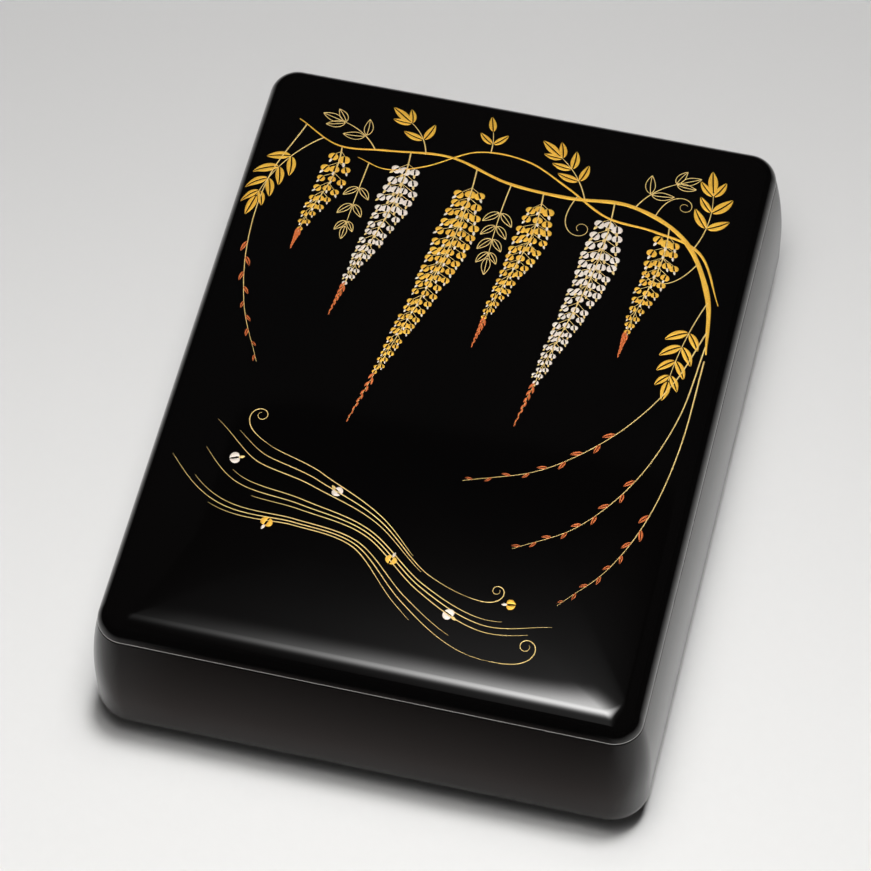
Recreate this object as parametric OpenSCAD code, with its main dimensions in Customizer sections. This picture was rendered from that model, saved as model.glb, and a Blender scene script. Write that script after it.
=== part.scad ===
// Lacquered document box: a swelling body and a flush, gently domed lid that lifts straight off.
// The origin is the centre of the base. X is the width, Y the depth with the front at -Y, Z is up.

/* [Body] */
// Width of the box across the rim where lid and body meet
rim_w = 250; // [200:1:320]
// Depth of the box across the rim
rim_d = 327; // [260:1:420]
// Height of the rim above the base
body_h = 76; // [60:1:110]
// Radius of the four upright corners at the rim
rim_corner_r = 13.5; // [12:0.5:20]
// How far the walls swell out beyond the rim
bulge = 4.6; // [2:0.1:8]
// Height at which the walls are fullest
bulge_z = 32; // [24:1:45]
// Radius that rolls the walls under to the base
base_r = 18; // [10:0.5:22]
// Thickness of the walls at the rim, coat included
wall_t = 8; // [6.5:0.25:10]
// Thickness of the bottom board
bottom_t = 9; // [8:0.5:12]
// Corner radius of the flat foot under the bottom board
foot_corner_r = 3; // [2:0.5:6]

/* [Lid] */
// Radius of the rounded shoulder above the lid's rim
shoulder_r = 10; // [8:0.5:13]
// Corner radius of the lid at the top of the shoulder
shoulder_corner_r = 9; // [6:0.5:14]
// Rise of the domed top above the shoulder, from the rim to the middle
crown_h = 5; // [3:0.25:8]
// How soon the dome levels out: more is flatter in the middle
crown_power = 5.4; // [3:0.2:7]
// Depth inside the rim up to which the dome's level lines keep their straight sides
crown_reach = 55; // [40:1:65]
// Corner radius of the level line at that depth
crown_corner_r = 30; // [15:1:30]
// Height of the shoulder that belongs to the top board, above the rails
board_edge = 3; // [2.5:0.25:4]

/* [Lining] */
// Thickness of the lining boards inside the walls
lining_t = 3; // [2:0.25:5]
// Room left above the lip, under the top board
lip_room = 2; // [0.5:0.25:3]
// Clearance between the lip and the lid's rails
lip_gap = 0.4; // [0.2:0.05:0.8]
// Lead-in bevel on the outer edge of the lip
lip_bevel = 0.8; // [0.3:0.1:1.5]

/* [Lacquer coat] */
// Thickness of the cloth and lacquer coat over the wood
coat_t = 1; // [0.6:0.1:1.5]
// Thin bed of filler between the wood and its coat
coat_bed = 0.2; // [0.1:0.05:0.3]
// Bevel that eases the coat's edges along the seam
seam_bevel = 0.7; // [0.3:0.1:1]

/* [Joinery] */
// Thickness of the keys let in across the body's mitres
key_t = 3; // [2:0.5:5]
// Length of the body keys across the mitre
key_len = 12; // [8:0.5:14]
// Depth of the body keys along the mitre
key_deep = 4; // [2:0.25:4.5]
// Wood left between the inside corner and the body keys
key_cover = 1.5; // [1:0.1:2]
// Height of the lower body keys
key_low_z = 28; // [20:1:40]
// Height of the upper body keys
key_high_z = 52; // [45:1:56]
// Thickness of the keys let in across the lid rails' mitres
lid_key_t = 2; // [1:0.25:3]
// Length of the lid keys across the mitre
lid_key_len = 8; // [5:0.5:8]
// Depth of the lid keys along the mitre
lid_key_deep = 1.5; // [1:0.1:1.6]
// Wood left between the inside corner and the lid keys
lid_key_cover = 0.6; // [0.4:0.1:0.8]
// Height of the lid keys above the rim
lid_key_rise = 1.5; // [1:0.25:2]
// Diameter of the wooden pegs that hold the bottom board
peg_d = 3; // [2:0.25:4]
// Length of the pegs
peg_len = 14; // [10:0.5:18]
// Depth of the pegs in the bottom board
peg_bite = 3; // [2:0.25:3.25]
// Glue gap round the pegs
peg_gap = 0.05; // [0.02:0.01:0.1]
// Pegs along each of the deep sides
pegs_deep = 4; // [3:1:6]
// Pegs along each of the wide sides
pegs_wide = 3; // [2:1:5]

/* [Hidden] */
$fn = 96;

lacquer_black = [0.03, 0.03, 0.035];
lacquered_wood = [0.07, 0.06, 0.06];
bare_wood = [0.78, 0.62, 0.42];

// Sides in the order of quarter turns from +X
sides = ["right", "back", "left", "front"];

// The upright corners turn about fixed axes, and u is the distance outwards from them
axis_x = rim_w / 2 - rim_corner_r;
axis_y = rim_d / 2 - rim_corner_r;
axes = [[axis_x, axis_y], [-axis_x, axis_y], [-axis_x, -axis_y], [axis_x, -axis_y]];
full_u = rim_corner_r + bulge;
inner_u = rim_corner_r - wall_t;
core_in = coat_t + coat_bed;
far_u = 2 * full_u;

// The wall's arc runs from the rim to its fullest height, where it stands upright
wall_arc_r = (pow(body_h - bulge_z, 2) + pow(bulge, 2)) / (2 * bulge);
arc_fn = 360;
base_u = full_u - base_r;

// The rails carry the top board below the top of the shoulder
rail_h = shoulder_r - board_edge;
rail_u = inner_u + lip_gap;
lip_h = rail_h - lip_room;
seam_ease = min(seam_bevel, 0.8 * coat_t);

// Steps of the lid's curved surface
corner_steps = 6;
side_steps = 8;
shoulder_steps = 6;
crown_shares = [0.12, 0.3, 0.6, 1];
middle_shares = [0.5];

function turn_of(side) = 90 * search([side], sides)[0];
function is_deep(side) = side == "right" || side == "left";
function run_of(side) = 2 * (is_deep(side) ? axis_y : axis_x);
function reach_of(side) = is_deep(side) ? axis_x : axis_y;

// Distance of the wood's outer face from the corner axis at a height in the lower part of the body
function core_u(z) = z < base_r
    ? base_u + sqrt(pow(base_r - core_in, 2) - pow(base_r - z, 2))
    : full_u - core_in;
peg_u = (inner_u + core_u(bottom_t)) / 2;

// Section of the body from the corner axis outwards, with its outer face set in
module body_section(set_in) {
    intersection() {
        translate([full_u - wall_arc_r, bulge_z]) circle(wall_arc_r - set_in, $fn = arc_fn);
        translate([0, bulge_z]) square([far_u, body_h - bulge_z]);
    }
    translate([0, base_r]) square([full_u - set_in, bulge_z - base_r]);
    intersection() {
        translate([base_u, base_r]) circle(base_r - set_in, $fn = arc_fn);
        translate([max(base_u, 0), 0]) square([far_u, base_r]);
    }
    if (base_u > 0) translate([0, set_in]) square([base_u, base_r - set_in]);
}

// Carries a section along one side and half way round the corner at each end, to a mitre
module mitred_side(side) {
    run = run_of(side);
    rotate(turn_of(side)) translate([reach_of(side), 0, 0]) {
        translate([0, run / 2, 0]) rotate([90, 0, 0]) linear_extrude(run) children();
        for (end = [0, 1])
            mirror([0, end, 0]) translate([0, run / 2, 0]) rotate_extrude(angle = 45) children();
    }
}

// Carries a section all the way round the box
module full_ring() {
    for (side = sides)
        rotate(turn_of(side)) translate([reach_of(side), run_of(side) / 2, 0]) {
            rotate([90, 0, 0]) linear_extrude(run_of(side)) children();
            rotate_extrude(angle = 90) children();
        }
}

// Plain block centred on the Z axis, reaching a distance beyond the corner axes
module centre_block(beyond, low, high) {
    translate([-axis_x - beyond, -axis_y - beyond, low])
        cube([2 * (axis_x + beyond), 2 * (axis_y + beyond), high - low]);
}

// Keys across the four mitres, starting a distance out from the corner axes
module mitre_keys(start, z, size) {
    for (k = [0:3])
        translate([axes[k][0], axes[k][1], z]) rotate(90 * k + 45)
            translate([start, -size[1] / 2, 0]) cube(size);
}

module body_keys() {
    for (z = [key_low_z, key_high_z])
        mitre_keys(sqrt(2) * inner_u + key_cover, z, [key_deep, key_len, key_t]);
}

module lid_keys() {
    mitre_keys(sqrt(2) * rail_u + lid_key_cover, body_h + lid_key_rise, [lid_key_deep, lid_key_len, lid_key_t]);
}

// Upright pegs along the middle of the walls, or the holes for them
module pegs(gap) {
    for (side = sides) {
        count = is_deep(side) ? pegs_deep : pegs_wide;
        for (i = [0:count - 1])
            rotate(turn_of(side))
                translate([reach_of(side) + peg_u, run_of(side) * ((i + 0.5) / count - 0.5), bottom_t - peg_bite - gap])
                    cylinder(d = peg_d + 2 * gap, h = peg_len + 2 * gap);
    }
}

// Outer boards of the body: swelling outside, flat inside, mitred at the corners
module wall(side) {
    color(lacquered_wood) difference() {
        mitred_side(side) intersection() {
            body_section(core_in);
            translate([inner_u / 2, bottom_t]) square([far_u, body_h - bottom_t]);
        }
        centre_block(inner_u, 0, body_h + lip_h);
        body_keys();
        pegs(peg_gap);
    }
}

// Bottom board under the walls, with the lower part of the rolled edge and a flat foot
module bottom_board() {
    block_u = foot_corner_r / 3;
    foot_h = 2 * core_in;
    color(lacquered_wood) difference() {
        union() {
            full_ring() intersection() {
                body_section(core_in);
                translate([block_u / 2, 0]) square([far_u, bottom_t]);
            }
            centre_block(block_u, 0, bottom_t);
            full_ring() translate([block_u / 2, 0]) square([foot_corner_r - block_u / 2, foot_h]);
        }
        pegs(peg_gap);
    }
}

module body_corner_keys() {
    color(bare_wood) body_keys();
}

module bottom_pegs() {
    color(bare_wood) pegs(0);
}

// Lining boards stand on the bottom board and rise past the rim as the lip that locates the lid
module lining(side) {
    reach = reach_of(side) + inner_u;
    half_run = run_of(side) / 2 + inner_u;
    past = 2 * lining_t;
    height = body_h + lip_h - bottom_t;
    color(lacquered_wood) rotate(turn_of(side)) translate([0, 0, bottom_t]) intersection() {
        translate([reach, half_run, 0]) rotate([90, 0, 0]) linear_extrude(2 * half_run) polygon([
            [-lining_t, 0], [0, 0], [0, height - lip_bevel], [-lip_bevel, height], [-lining_t, height]
        ]);
        linear_extrude(height) polygon([
            [reach - past, past - half_run], [reach + past, -past - half_run],
            [reach + past, half_run + past], [reach - past, half_run - past]
        ]);
    }
}

// Seamless coat of cloth and lacquer over the walls and the rolled edge, down to the foot
module body_lacquer_coat() {
    color(lacquer_black) full_ring() difference() {
        body_section(0);
        body_section(coat_t);
        square([foot_corner_r + coat_bed, body_h]);
        translate([rim_corner_r, body_h]) rotate(45) square(sqrt(2) * seam_ease, center = true);
    }
}

// Rim outline as pairs of a place on the rectangle of corner axes, in shares of its half sides,
// and the direction outwards
corners = [[1, 1], [-1, 1], [-1, -1], [1, -1]];
rim_path = [for (k = [0:3]) each concat(
    [for (j = [0:corner_steps]) [corners[k], 90 * (k + j / corner_steps)]],
    [for (j = [1:side_steps - 1]) [corners[k] + (corners[(k + 1) % 4] - corners[k]) * j / side_steps, 90 * (k + 1)]]
)];

// Rise of the dome at a depth inside the rim, steep at the rim and level in the middle
function crown(inside) = crown_h * (1 - pow(1 - 2 * inside / rim_w, crown_power));

// Corner radius at a depth inside the rim: it starts parallel to the rim and opens out over shoulder and dome
function corner_at(inside) = inside < shoulder_r
    ? rim_corner_r - inside + (shoulder_corner_r - rim_corner_r + shoulder_r) * pow(inside / shoulder_r, 2)
    : shoulder_corner_r + (crown_corner_r - shoulder_corner_r) * (inside - shoulder_r) / (crown_reach - shoulder_r);

// Ring at a depth inside the rim, drawn in towards the middle by a share
function lid_ring(inside, z, share = 1) = [for (r = rim_path)
    let (corner = corner_at(inside),
        x = r[0][0] * (rim_w / 2 - inside - corner) + corner * cos(r[1]),
        y = r[0][1] * (rim_d / 2 - inside - corner) + corner * sin(r[1]))
            [share * x, share * y, z]];

// Rings up the round of the shoulder, and on over the dome, of a surface set in from the outside
function shoulder_rings(set_in, first) = [for (j = [0:shoulder_steps])
    let (a = first + (90 - first) * j / shoulder_steps, r = shoulder_r - set_in, inside = shoulder_r - r * cos(a))
        lid_ring(inside, body_h + r * sin(a) + crown(inside))];
function crown_rings(set_in) = concat(
    [for (share = crown_shares)
        let (inside = shoulder_r + share * (crown_reach - shoulder_r))
            lid_ring(inside, body_h + shoulder_r - set_in + crown(inside))],
    [for (share = middle_shares)
        let (inside = rim_w / 2 - share * (rim_w / 2 - crown_reach))
            lid_ring(crown_reach, body_h + shoulder_r - set_in + crown(inside), share)]
);
function top_z(set_in) = body_h + shoulder_r - set_in + crown_h;
function reversed(list) = [for (i = [len(list) - 1:-1:0]) list[i]];

// Closed solid through a stack of rings, with a point in the middle of the first and the last
module ring_stack(rings, first_z, last_z) {
    n = len(rings[0]);
    last = len(rings) - 1;
    points = concat([for (r = rings) each r], [[0, 0, first_z], [0, 0, last_z]]);
    first_middle = n * (last + 1);
    last_middle = first_middle + 1;
    polyhedron(points, concat(
        [for (k = [0:last - 1], i = [0:n - 1])
            let (a = k * n + i, b = k * n + (i + 1) % n) each [[a, a + n, b], [b, a + n, b + n]]],
        [for (i = [0:n - 1]) [first_middle, i, (i + 1) % n]],
        [for (i = [0:n - 1]) [last_middle, n * last + (i + 1) % n, n * last + i]]
    ));
}

// Domed top board, flat underneath, on the rails
module lid_top_board() {
    core_r = shoulder_r - core_in;
    first = asin(rail_h / core_r);
    seat = lid_ring(shoulder_r - core_r * cos(first), body_h + rail_h);
    next = first + (90 - first) / shoulder_steps;
    color(lacquered_wood) ring_stack(
        concat([seat], shoulder_rings(core_in, next), crown_rings(core_in)),
        body_h + rail_h, top_z(core_in));
}

// Rails that frame the lid and carry the lower part of its shoulder, mitred at the corners
module lid_rail(side) {
    color(lacquered_wood) difference() {
        mitred_side(side) intersection() {
            translate([rim_corner_r - shoulder_r, body_h]) circle(shoulder_r - core_in);
            translate([rail_u / 2, body_h]) square([far_u, rail_h]);
        }
        centre_block(rail_u, 0, body_h + shoulder_r);
        lid_keys();
    }
}

module lid_corner_keys() {
    color(bare_wood) lid_keys();
}

// Seamless coat over the top board and the rails, down to the eased edge of the seam
module lid_lacquer_coat() {
    first = asin(seam_ease / shoulder_r);
    inner_first = 90 / shoulder_steps;
    color(lacquer_black) ring_stack(
        concat(
            reversed(crown_rings(coat_t)), reversed(shoulder_rings(coat_t, inner_first)),
            [lid_ring(coat_t, body_h), lid_ring(seam_ease, body_h)],
            shoulder_rings(0, first), crown_rings(0)
        ),
        top_z(coat_t), top_z(0));
}

wall("front");  // wall_front
wall("back");  // wall_back
wall("left");  // wall_left
wall("right");  // wall_right
bottom_board();
body_corner_keys();
bottom_pegs();
lining("front");  // lining_front
lining("back");  // lining_back
lining("left");  // lining_left
lining("right");  // lining_right
body_lacquer_coat();
lid_top_board();
lid_rail("front");  // lid_rail_front
lid_rail("back");  // lid_rail_back
lid_rail("left");  // lid_rail_left
lid_rail("right");  // lid_rail_right
lid_corner_keys();
lid_lacquer_coat();
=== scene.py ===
import math

import bpy
import numpy as np
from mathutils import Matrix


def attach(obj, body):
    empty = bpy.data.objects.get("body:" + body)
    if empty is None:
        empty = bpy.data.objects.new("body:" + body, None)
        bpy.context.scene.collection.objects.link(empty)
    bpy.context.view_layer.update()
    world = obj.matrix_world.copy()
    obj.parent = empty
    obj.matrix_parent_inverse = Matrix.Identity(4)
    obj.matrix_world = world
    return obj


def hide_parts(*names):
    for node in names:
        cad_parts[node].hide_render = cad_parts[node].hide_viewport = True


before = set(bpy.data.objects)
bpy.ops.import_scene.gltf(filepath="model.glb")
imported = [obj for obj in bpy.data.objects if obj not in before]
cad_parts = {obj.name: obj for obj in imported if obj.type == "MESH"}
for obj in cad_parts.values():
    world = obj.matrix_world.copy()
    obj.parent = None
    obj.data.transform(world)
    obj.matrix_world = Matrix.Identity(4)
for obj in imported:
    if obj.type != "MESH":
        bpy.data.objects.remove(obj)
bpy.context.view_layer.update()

mm = 0.001
print("frame loaded:", len(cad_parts), "nodes")

# Sizes of the box in millimetres, the same as the solids have
boxForm = {
    "rimWide": 250.0,
    "rimDeep": 327.0,
    "rimHigh": 76.0,
    "cornerRound": 13.5,
    "bulge": 4.6,
    "bulgeHigh": 32.0,
    "baseRound": 18.0,
    "footReach": 3.02,
    "shoulderRound": 10.0,
    "shoulderCorner": 9.0,
    "crownHigh": 4.88,
    "crownPower": 5.4,
    "crownReach": 55.0,
    "crownCorner": 30.0,
    "coat": 1.19,
    "lidCoat": 1.05,
    "seamRound": 0.7,
}
halfWide = boxForm["rimWide"] / 2
halfDeep = boxForm["rimDeep"] / 2
fullReach = boxForm["cornerRound"] + boxForm["bulge"]
wallRise = boxForm["rimHigh"] - boxForm["bulgeHigh"]
wallRound = (wallRise ** 2 + boxForm["bulge"] ** 2) / (2 * boxForm["bulge"])


class Wire:
    # A socket that plain expressions can add, take away, multiply, divide and raise to a power
    def __init__(self, board, socket):
        self.board = board
        self.socket = socket

    def __add__(self, other):
        return self.board.maths("ADD", self, other)

    def __sub__(self, other):
        return self.board.maths("SUBTRACT", self, other)

    def __rsub__(self, other):
        return self.board.maths("SUBTRACT", other, self)

    def __mul__(self, other):
        return self.board.maths("MULTIPLY", self, other)

    def __truediv__(self, other):
        return self.board.maths("DIVIDE", self, other)

    def __rtruediv__(self, other):
        return self.board.maths("DIVIDE", other, self)

    def __pow__(self, other):
        return self.board.maths("POWER", self, other)

    def __rpow__(self, other):
        return self.board.maths("POWER", other, self)

    __radd__ = __add__
    __rmul__ = __mul__


class Board:
    # The nodes of one material or of the world
    def __init__(self, owner):
        owner.use_nodes = True
        self.tree = owner.node_tree
        self.tree.nodes.clear()

    def add(self, kind, settings=None, inputs=None, output=0):
        node = self.tree.nodes.new(kind)
        for key, value in (settings or {}).items():
            setattr(node, key, value)
        for key, value in (inputs or {}).items():
            if isinstance(value, Wire):
                self.tree.links.new(value.socket, node.inputs[key])
            else:
                node.inputs[key].default_value = value
        return Wire(self, node.outputs[output]) if node.outputs else None

    def maths(self, operation, *values):
        return self.add("ShaderNodeMath", {"operation": operation}, dict(enumerate(values)))

    def place(self, kind="Object"):
        return self.add("ShaderNodeTexCoord", output=kind)

    def axis(self, place, number):
        return self.add("ShaderNodeSeparateXYZ", {}, {0: place}, number)

    def noise(self, place, scale, detail=2.0, roughness=0.5):
        inputs = {"Vector": place, "Scale": scale, "Detail": detail, "Roughness": roughness}
        return self.add("ShaderNodeTexNoise", {}, inputs)

    def blendColour(self, share, first, second):
        settings = {"data_type": "RGBA"}
        inputs = {0: share, 6: first, 7: second}
        return self.add("ShaderNodeMix", settings, inputs, 2)

    def ease(self, value, low, high, start=0.0, end=1.0):
        settings = {"interpolation_type": "SMOOTHSTEP"}
        inputs = {"Value": value, "From Min": low, "From Max": high, "To Min": start, "To Max": end}
        return self.add("ShaderNodeMapRange", settings, inputs)

    def fade(self, value, low, high):
        return self.ease(value, low, high, 1.0, 0.0)

    def stretch(self, place, amounts):
        return self.add("ShaderNodeMapping", {}, {"Vector": place, "Scale": amounts})

    def bump(self, height, distance, strength=1.0):
        inputs = {"Height": height, "Distance": distance, "Strength": strength}
        return self.add("ShaderNodeBump", {}, inputs)

    def surface(self, inputs):
        shader = self.add("ShaderNodeBsdfPrincipled", {}, inputs)
        self.show(shader)

    def show(self, shader):
        self.add("ShaderNodeOutputMaterial", {}, {"Surface": shader})


def newMaterial(name):
    material = bpy.data.materials.new(name)
    return material, Board(material)


def rgba(colour):
    return (*colour, 1.0)


# Finishes. Noises are given as scale, detail and roughness, heights in metres

lidLook = {
    "black": (0.0008, 0.0008, 0.0009),
    "warm": (0.0016, 0.0013, 0.0012),
    # Painted highlight: this nearly white colour lies on a band round the seam's rounded edge, in place of
    # the floor it would mirror
    "edge": (0.74, 0.72, 0.70),
    "edgeAt": 76.5,
    "edgeReach": 0.75,
    "rough": 0.022,
    "ior": 1.48,
}
bodyLook = {
    "black": (0.0016, 0.0013, 0.0012),
    "warm": (0.0034, 0.0026, 0.0023),
    "edge": (0.004, 0.003, 0.003),
    "edgeAt": 75.9,
    "edgeReach": 0.9,
    "rough": 0.17,
    "ior": 1.35,
}
# What the lid's and the body's lacquer share
polishLook = {
    "clouds": (9.0, 3.0),
    "fine": (700.0, 2.0),
    "waves": (26.0, 1.0),
    "leastSheenAndWear": 0.55,
    "cloudRough": 0.03,
    "fineRough": 0.02,
    "wornRough": 0.1,
    "waveHigh": 0.00005,
}


def polishedLacquer(name, look, polish):
    # Deep black, a mirror on the lid and softer on the body: slow clouds of warmth, a band along the seam's
    # edge where the polish is rougher, as worn, and which on the lid is painted pale as a painted highlight
    # (on the body it stays near black), faint waves of the hand polish
    material, board = newMaterial(name)
    place = board.place()
    clouds = board.noise(place, *polish["clouds"])
    fine = board.noise(place, *polish["fine"])
    waves = board.noise(place, *polish["waves"])
    height = board.axis(place, 2) / mm
    offEdge = board.maths("ABSOLUTE", height - look["edgeAt"])
    patches = polish["leastSheenAndWear"] + (1 - polish["leastSheenAndWear"]) * clouds
    # Patchy band round the seam: on the lid a painted highlight, on lid and body a rougher, worn polish
    sheenAndWear = board.fade(offEdge, look["edgeReach"] / 2, look["edgeReach"]) * patches
    deep = board.blendColour(clouds, rgba(look["black"]), rgba(look["warm"]))
    colour = board.blendColour(sheenAndWear, deep, rgba(look["edge"]))
    rough = look["rough"] + polish["cloudRough"] * clouds + polish["fineRough"] * fine
    rough = rough + polish["wornRough"] * sheenAndWear
    normal = board.bump(waves, polish["waveHigh"])
    board.surface({"Base Color": colour, "Roughness": rough, "Normal": normal, "IOR": look["ior"]})
    return material


boardLook = {
    "black": (0.022, 0.0195, 0.0185),
    "brown": (0.050, 0.040, 0.036),
    "alongX": (0.05, 1.0, 1.0),
    "alongY": (1.0, 0.05, 1.0),
    "ridges": (60.0, 4.0, 0.6),
    "clouds": (14.0, 3.0),
    "dust": (1500.0, 1.0),
    "brownShare": 1.6,
    "rough": 0.16,
    "cloudRough": 0.10,
    "ridgeRough": 0.06,
    "dustRough": 0.03,
    "ridgeHigh": 0.00006,
    "ior": 1.45,
}


def lacquerOnBoard(name, look, grain):
    # Plain black lacquer on wood: the grain below shows as faint long ridges, and the polish is soft
    material, board = newMaterial(name)
    place = board.place()
    ridges = board.noise(board.stretch(place, grain), *look["ridges"])
    clouds = board.noise(place, *look["clouds"])
    dust = board.noise(place, *look["dust"])
    colour = board.blendColour(ridges * clouds * look["brownShare"], rgba(look["black"]), rgba(look["brown"]))
    rough = look["rough"] + look["cloudRough"] * clouds + look["ridgeRough"] * ridges
    rough = rough + look["dustRough"] * dust
    normal = board.bump(ridges, look["ridgeHigh"])
    board.surface({"Base Color": colour, "Roughness": rough, "Normal": normal, "IOR": look["ior"]})
    return material


woodLook = {
    "pale": (0.56, 0.39, 0.22),
    "dark": (0.33, 0.19, 0.09),
    "drift": (30.0, 3.0),
    "ringTurns": 4200.0,
    "ringDrift": 14.0,
    "poreStretch": (1.0, 1.0, 0.08),
    "pores": (2400.0, 2.0),
    "evenShare": 0.35,
    "ringShare": 0.3,
    "poreShare": 0.3,
    "poreHigh": 0.00008,
    "rough": 0.5,
    "poreRough": 0.2,
}


def plainWood(name, look):
    # Planed wood: growth rings as bands bent by noise, pores as fine dark streaks
    material, board = newMaterial(name)
    place = board.place()
    drift = board.noise(place, *look["drift"])
    across = board.axis(place, 0)
    rings = board.maths("SINE", across * look["ringTurns"] + drift * look["ringDrift"])
    pores = board.noise(board.stretch(place, look["poreStretch"]), *look["pores"])
    share = look["evenShare"] + look["ringShare"] * rings + look["poreShare"] * pores
    colour = board.blendColour(share, rgba(look["pale"]), rgba(look["dark"]))
    rough = look["rough"] + look["poreRough"] * pores
    normal = board.bump(pores, look["poreHigh"])
    board.surface({"Base Color": colour, "Roughness": rough, "Normal": normal})
    return material


goldLook = {"bright": (0.92, 0.56, 0.075), "deep": (0.66, 0.33, 0.035), "metal": 0.35, "rough": 0.40}
paleGoldLook = {"bright": (0.84, 0.63, 0.26), "deep": (0.62, 0.42, 0.13), "metal": 0.30, "rough": 0.42}
silverLook = {"bright": (0.86, 0.78, 0.70), "deep": (0.60, 0.50, 0.43), "metal": 0.30, "rough": 0.42}
redGoldLook = {"bright": (0.66, 0.17, 0.045), "deep": (0.42, 0.085, 0.02), "metal": 0.25, "rough": 0.45}
# What the four powders share
powderLook = {
    "grainScale": 3800.0,
    "tones": (2600.0, 2.0),
    "drift": (110.0, 2.0),
    "driftShare": 0.5,
    "deepFrom": (0.5, 1.05),
    "toneRough": 0.16,
    "driftRough": 0.08,
    "brightMetal": 0.25,
    "grainHigh": 0.00003,
    "grainStrength": 0.7,
}


def metalPowder(name, look, powder):
    # Sprinkled powder, burnished: grains of two tones, each a little proud, some turned to catch the light
    material, board = newMaterial(name)
    place = board.place()
    inputs = {"Vector": place, "Scale": powder["grainScale"]}
    grains = board.add("ShaderNodeTexVoronoi", {"feature": "F1"}, inputs, 0)
    tones = board.noise(place, *powder["tones"])
    drift = board.noise(place, *powder["drift"])
    share = board.ease(tones + powder["driftShare"] * drift, *powder["deepFrom"])
    colour = board.blendColour(share, rgba(look["bright"]), rgba(look["deep"]))
    rough = look["rough"] + powder["toneRough"] * tones + powder["driftRough"] * drift
    metal = look["metal"] + powder["brightMetal"] * (1 - share)
    normal = board.bump(1 - grains, powder["grainHigh"], powder["grainStrength"])
    board.surface({"Base Color": colour, "Roughness": rough, "Metallic": metal, "Normal": normal})
    return material


lidLacquer = polishedLacquer("polished_lacquer_lid", lidLook, polishLook)
bodyLacquer = polishedLacquer("polished_lacquer_body", bodyLook, polishLook)
deepBoard = lacquerOnBoard("lacquered_board_deep", boardLook, boardLook["alongY"])
wideBoard = lacquerOnBoard("lacquered_board_wide", boardLook, boardLook["alongX"])
bareWood = plainWood("bare_wood", woodLook)
gold = metalPowder("gold_powder_full", goldLook, powderLook)
paleGold = metalPowder("gold_powder_pale", paleGoldLook, powderLook)
silver = metalPowder("silver_powder", silverLook, powderLook)
redGold = metalPowder("gold_powder_red", redGoldLook, powderLook)
print("finishes mixed")


# Surfaces

def gridFaces(rows, columns, ringed):
    # Quads between neighbouring rows, the columns running round. The rows run round as well,
    # or two fans of triangles close the ends on two points that follow the grid's own
    row = np.arange(rows if ringed else rows - 1)[:, None]
    column = np.arange(columns)[None, :]
    near = row * columns
    far = (row + 1) % rows * columns
    after = (column + 1) % columns
    quads = np.stack([near + column, near + after, far + after, far + column], -1).reshape(-1, 4)
    if ringed:
        return quads, np.zeros((0, 3), int)
    column = np.arange(columns)
    after = (column + 1) % columns
    last = (rows - 1) * columns
    firstFan = np.stack([np.full(columns, rows * columns), after, column], -1)
    lastFan = np.stack([np.full(columns, rows * columns + 1), last + column, last + after], -1)
    return quads, np.concatenate([firstFan, lastFan])


def outward(points, quads, triangles):
    # Six times the volume of each shell, as the sum of triple products, says which shells to turn round
    corners = np.concatenate([quads[:, [0, 1, 2]], quads[:, [0, 2, 3]], triangles])
    centred = points - points.mean(1, keepdims=True)
    a, b, c = (centred[:, corners[:, k]] for k in range(3))
    return (a * np.cross(b, c)).sum((1, 2)) > 0


def makePiece(name, points, rows, columns, ringed=False):
    # Many shells of one grid in one mesh: points are shells x vertices x 3, in millimetres
    quads, triangles = gridFaces(rows, columns, ringed)
    good = outward(points, quads, triangles)[:, None, None]
    start = (np.arange(len(points)) * points.shape[1])[:, None, None]
    allQuads = (np.where(good, quads, quads[:, ::-1]) + start).reshape(-1, 4)
    allTriangles = (np.where(good, triangles, triangles[:, ::-1]) + start).reshape(-1, 3)
    mesh = bpy.data.meshes.new(name)
    mesh.from_pydata((points.reshape(-1, 3) * mm).tolist(), [], allQuads.tolist() + allTriangles.tolist())
    mesh.polygons.foreach_set("use_smooth", np.ones(len(mesh.polygons), bool))
    mesh.update()
    piece = bpy.data.objects.new(name, mesh)
    bpy.context.scene.collection.objects.link(piece)
    return piece


def rimStations(cornerSteps, sideSteps):
    # Quarter turns about the four corner axes joined by straight runs: for each station its place on a square
    # of half side 1, whose corners stand for the axes, and its direction outwards
    axes = np.array([[1.0, 1.0], [-1.0, 1.0], [-1.0, -1.0], [1.0, -1.0]])
    quarter = np.arange(4)[:, None]
    cornerTurn = np.radians(90 * (quarter + np.arange(cornerSteps + 1) / cornerSteps))
    cornerAt = np.repeat(axes[:, None, :], cornerSteps + 1, 1)
    share = np.arange(1, sideSteps)[None, :, None] / sideSteps
    sideAt = axes[:, None, :] + (np.roll(axes, -1, 0) - axes)[:, None, :] * share
    sideTurn = np.repeat(np.radians(90.0 * (quarter + 1)), sideSteps - 1, 1)
    at = np.concatenate([cornerAt, sideAt], 1).reshape(-1, 2)
    turn = np.concatenate([cornerTurn, sideTurn], 1).reshape(-1)
    return at, np.stack([np.cos(turn), np.sin(turn)], -1)


def levelLine(inside, share):
    # Level lines of the lid: rounded rectangles set in from the rim, whose corners start parallel to the
    # rim's and open out over the shoulder and the crown as far as it reaches. From there on the last one
    # shrinks by its share
    bend = boxForm["shoulderRound"]
    eased = boxForm["shoulderCorner"] - boxForm["cornerRound"] + bend
    opened = (inside - bend) / (boxForm["crownReach"] - bend)
    onShoulder = boxForm["cornerRound"] - inside + eased * (inside / bend) ** 2
    onCrown = boxForm["shoulderCorner"] + opened * (boxForm["crownCorner"] - boxForm["shoulderCorner"])
    corner = np.where(inside < bend, onShoulder, onCrown)
    return share * (halfWide - inside - corner), share * (halfDeep - inside - corner), share * corner


def crownRise(inside, share):
    # Crown height times one less a power of what is left of the half width
    left = share * (1 - inside / halfWide)
    return boxForm["crownHigh"] * (1 - left ** boxForm["crownPower"])


def levelPlace(level):
    # Levels run from 0 at the rim over 1, where the crown's reach ends, to 2 in the middle: how far in from
    # the rim a level is, and its share of the last line
    return np.minimum(level, 1) * boxForm["crownReach"], np.minimum(2 - level, 1)


halvings = 40


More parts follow.
